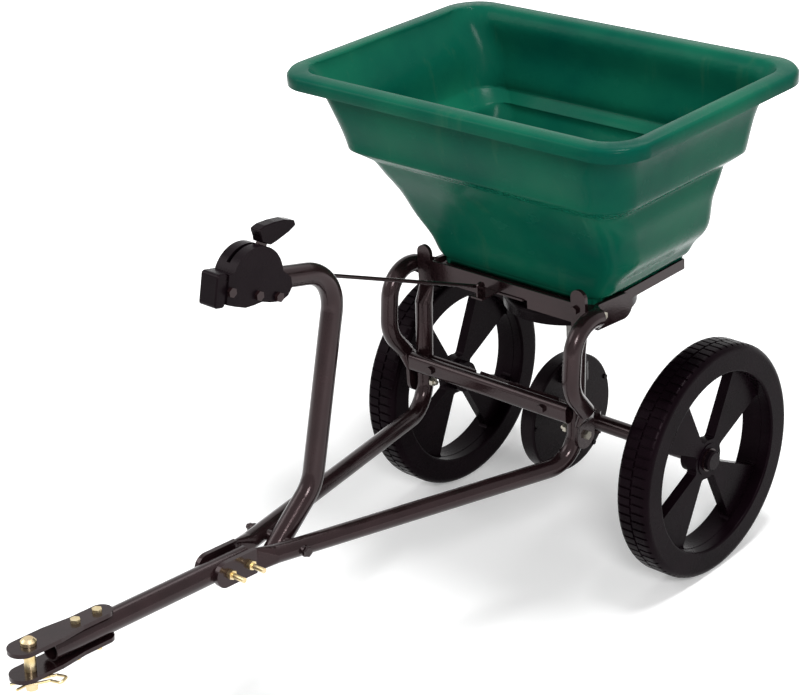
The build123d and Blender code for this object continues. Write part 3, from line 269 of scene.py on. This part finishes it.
def plainSteel(name, plain, dark):
    material, tree, shader, place = newMaterial(name)
    cloud = spread(tree, noise(tree, place, steelLook["clouds"], 5.0), 0.0, 1.0)
    tree.links.new(blendColour(tree, cloud, plain, dark), shader.inputs["Base Color"])
    shader.inputs["Metallic"].default_value = 1.0
    roughen(tree, shader, place, steelLook, 5.0)
    bump(tree, shader, noise(tree, place, steelLook["grain"], 2.0), steelLook["grainDepth"], 0.25)
    return material


nylonLook = {
    "white": (0.62, 0.60, 0.52),
    "cream": (0.70, 0.68, 0.61),
    "clouds": 50.0,
    "wear": 80.0,
    "rough": (0.38, 0.55),
    "depth": 0.05,
    "grain": 500.0,
    "grainDepth": 0.0002,
}


def nylon():
    material, tree, shader, place = newMaterial("nylon")
    cloud = spread(tree, noise(tree, place, nylonLook["clouds"], 3.0), 0.0, 1.0)
    tree.links.new(blendColour(tree, cloud, nylonLook["white"], nylonLook["cream"]), shader.inputs["Base Color"])
    roughen(tree, shader, place, nylonLook, 3.0)
    shader.inputs["Subsurface Weight"].default_value = nylonLook["depth"]
    bump(tree, shader, noise(tree, place, nylonLook["grain"], 2.0), nylonLook["grainDepth"], 0.2)
    return material


finishes = {
    "green_plastic": mouldedGreen(),
    "black_steel": paintedSteel(),
    "gold_zinc": goldZinc(),
    "zinc_steel": plainSteel("zincSteel", *steelLook["zinc"]),
    "bare_steel": plainSteel("bareSteel", *steelLook["bare"]),
    "black_plastic": mouldedBlack("wheelBlack", wheelLook),
    "case_plastic": mouldedBlack("caseBlack", caseLook),
    "nylon": nylon(),
}
print("finishes made")

# each node keeps its record slot, apart from the painted fittings and the moulded black parts
slots = {part["node"]: part["material_slot"] for part in frame["record"]["subparts"]}
blackened = """axle_sleeve_left axle_sleeve_right control_rod lever lever_pivot_bolt head_bolts gate gate_guides
post_bolt post_spacers sleeve_bolts crossbar_bolts upright_bolts case_tie_bolt case_spacers axle_washers""".split()
cases = """gear_case_left gear_case_right control_housing_left control_housing_right control_nose lever_grip
case_screws axle_caps impeller wheel_bush_left wheel_bush_right""".split()
for name, node in nodes.items():
    finish = "black_steel" if name in blackened else "case_plastic" if name in cases else slots[name]
    node.data.materials.clear()
    node.data.materials.append(finishes[finish])

# the moulding's edges are shaded as small radii, from the wide faces beside them
seams = nodes["hopper"].modifiers.new("closeSeams", "WELD")
seams.merge_threshold = hopperLook["weld"]
nodes["hopper"].modifiers.new("evenShading", "WEIGHTED_NORMAL").weight = hopperLook["evenness"]
print("nodes finished")

# tyre tread: two rows of short lugs, half a lug apart, with a groove between the rows
treadLook = {
    "lugs": 78,  # in each row
    "share": 0.27,  # of the pitch, taken by a groove
    "depth": 0.0020,
    "middle": 0.0012,  # half the width of the groove between the rows
    "over": 0.003,  # how far the cutter stands past the tyre
    "overSide": 0.004,
    "sides": 240,
    "weld": 0.000002,
}


# a closed ring of rectangular section, or a part of one, about the axle line
def addArc(shape, centre, across, reach, start, turn, sides):
    closed = turn >= 2 * math.pi
    corners = ((across[0], reach[0]), (across[1], reach[0]), (across[1], reach[1]), (across[0], reach[1]))
    rows = []
    for index in range(sides if closed else sides + 1):
        angle = start + turn * index / sides
        rows.append([
            shape.verts.new((x, centre[0] + r * math.cos(angle), centre[1] + r * math.sin(angle)))
            for x, r in corners
        ])
    for index in range(sides):
        here, ahead = rows[index], rows[(index + 1) % len(rows)]
        for corner in range(len(corners)):
            after = (corner + 1) % len(corners)
            shape.faces.new((here[corner], here[after], ahead[after], ahead[corner]))
    if not closed:
        shape.faces.new(rows[0])
        shape.faces.new(list(reversed(rows[-1])))


# cuts the given arcs out of a wheel; the cutter itself is never shown
def cutArcs(wheel, body, name, arcs):
    shape = bmesh.new()
    for arc in arcs:
        addArc(shape, *arc)
    bmesh.ops.recalc_face_normals(shape, faces=shape.faces[:])
    mesh = bpy.data.meshes.new(name)
    shape.to_mesh(mesh)
    shape.free()
    cutter = bpy.data.objects.new(name, mesh)
    bpy.context.scene.collection.objects.link(cutter)
    cutter.hide_render = True
    cutter.hide_viewport = True
    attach(cutter, body)
    modifier = wheel.modifiers.new(name, "BOOLEAN")
    modifier.operation = "DIFFERENCE"
    modifier.solver = "MANIFOLD"
    modifier.object = cutter


# the right wheel is pinned to the axle and turns with it
for side, body in (("left", "wheel_left"), ("right", "axle")):
    wheel = nodes["wheel_" + side]
    low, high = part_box(wheel.name)
    weld = wheel.modifiers.new("closeSeams", "WELD")
    weld.merge_threshold = treadLook["weld"]
    centre = ((low[1] + high[1]) / 2, (low[2] + high[2]) / 2)
    outer = (high[2] - low[2]) / 2
    reach = (outer - treadLook["depth"], outer + treadLook["over"])
    half = (high[0] - low[0]) / 2 + treadLook["overSide"]
    middle = (low[0] + high[0]) / 2
    ring = (centre, (middle - treadLook["middle"], middle + treadLook["middle"]), reach, 0.0, 2 * math.pi)
    cutArcs(wheel, body, "treadRing_" + side, [ring + (treadLook["sides"],)])
    pitch = 2 * math.pi / treadLook["lugs"]
    grooves = [
        (centre, (middle, middle + sign * half), reach, (index + shift) * pitch, treadLook["share"] * pitch, 1)
        for sign, shift in ((-1, 0.0), (1, 0.5))
        for index in range(treadLook["lugs"])
    ]
    cutArcs(wheel, body, "treadGrooves_" + side, grooves)
print("tread cut")

# floor, light and camera: the surroundings are white, and the floor keeps the shadow
# one for rays that come from the camera, a mirror or glass: these see the white surroundings
def seenRays(tree):
    rays = tree.nodes.new("ShaderNodeLightPath").outputs
    mirrored = maths(tree, "MAXIMUM", rays["Is Glossy Ray"], rays["Is Transmission Ray"])
    return maths(tree, "MAXIMUM", rays["Is Camera Ray"], mirrored)


stageLook = {
    "size": 30.0,
    "floor": (0.92, 0.92, 0.92),
    "floorPale": (0.94, 0.94, 0.94),
    "clouds": 3.0,
    "rough": 0.9,
    "specular": 0.1,
    "lift": 0.17,  # what the floor adds near the object, for seen rays alone
    "fade": (0.9, 2.2),  # where it grows to full white
    "world": 0.34,
}

floorMesh = bpy.data.meshes.new("floor")
floorShape = bmesh.new()
bmesh.ops.create_grid(floorShape, x_segments=1, y_segments=1, size=stageLook["size"])
floorShape.to_mesh(floorMesh)
floorShape.free()
floor = bpy.data.objects.new("floor", floorMesh)
bpy.context.scene.collection.objects.link(floor)
floor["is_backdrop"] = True
floorMaterial, floorTree, floorShader, floorPlace = newMaterial("paleFloor")
floorShader.inputs["Roughness"].default_value = stageLook["rough"]
floorShader.inputs["Specular IOR Level"].default_value = stageLook["specular"]
floorTint = spread(floorTree, noise(floorTree, floorPlace, stageLook["clouds"]), 0.0, 1.0)
floorTree.links.new(
    blendColour(floorTree, floorTint, stageLook["floor"], stageLook["floorPale"]), floorShader.inputs["Base Color"]
)
floorShader.inputs["Emission Color"].default_value = (1.0, 1.0, 1.0, 1.0)
fromObject = floorTree.nodes.new("ShaderNodeVectorMath")
fromObject.operation = "LENGTH"
floorTree.links.new(floorPlace, fromObject.inputs[0])
lift = spread(floorTree, fromObject.outputs["Value"], stageLook["lift"], 1.0, *stageLook["fade"])
glow = maths(floorTree, "MULTIPLY", lift, seenRays(floorTree))
floorTree.links.new(glow, floorShader.inputs["Emission Strength"])
floorMesh.materials.append(floorMaterial)

world = bpy.data.worlds.new("studio")
bpy.context.scene.world = world
world.use_nodes = True
worldTree = world.node_tree
background = worldTree.nodes["Background"]
background.inputs["Color"].default_value = (1.0, 1.0, 1.0, 1.0)
worldTree.links.new(
    spread(worldTree, seenRays(worldTree), stageLook["world"], 1.0, 0.0, 1.0), background.inputs["Strength"]
)

lamps = {
    "keyLamp": {"place": (0.55, 0.35, 3.4), "aim": (0.0, 0.2, 0.35), "size": 1.0, "power": 88.0},
    "cameraLamp": {"place": (2.2, -1.7, 2.1), "aim": (0.0, 0.2, 0.4), "size": 0.9, "power": 62.0},
    "fillLamp": {"place": (-2.2, -1.5, 2.2), "aim": (0.0, 0.2, 0.35), "size": 1.8, "power": 26.0},
    "rimLamp": {"place": (-0.6, 2.2, 3.0), "aim": (0.0, 0.2, 0.45), "size": 1.6, "power": 16.0},
}
for name, lamp in lamps.items():
    light = bpy.data.lights.new(name, "AREA")
    light.shape = "DISK"
    light.size = lamp["size"]
    light.energy = lamp["power"]
    holder = bpy.data.objects.new(name, light)
    bpy.context.scene.collection.objects.link(holder)
    holder.location = lamp["place"]
    holder.rotation_euler = (Vector(lamp["aim"]) - Vector(lamp["place"])).to_track_quat("-Z", "Y").to_euler()

shot = {
    "place": (1.5697, -1.55466, 1.4350),
    "azimuth": 44.12,
    "elevation": 25.26,
    "roll": -3.827,
    "lens": 96.12,
    "sensor": 36.0,
    "far": 60.0,
}
azimuth, elevation, roll = (math.radians(shot[angle]) for angle in ("azimuth", "elevation", "roll"))
back = Vector(
    (math.sin(azimuth) * math.cos(elevation), -math.cos(azimuth) * math.cos(elevation), math.sin(elevation))
)
right = Vector((math.cos(azimuth), math.sin(azimuth), 0.0))
up = back.cross(right)
acrossShot = right * math.cos(roll) + up * math.sin(roll)
upShot = up * math.cos(roll) - right * math.sin(roll)
camera = bpy.data.objects.new("camera", bpy.data.cameras.new("camera"))
bpy.context.scene.collection.objects.link(camera)
camera.data.sensor_width = shot["sensor"]
camera.data.lens = shot["lens"]
camera.data.clip_end = shot["far"]
camera.matrix_world = Matrix.Translation(shot["place"]) @ Matrix((acrossShot, upShot, back)).transposed().to_4x4()
bpy.context.scene.camera = camera
bpy.context.scene.view_settings.view_transform = "Standard"
print("stage set")

low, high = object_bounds()
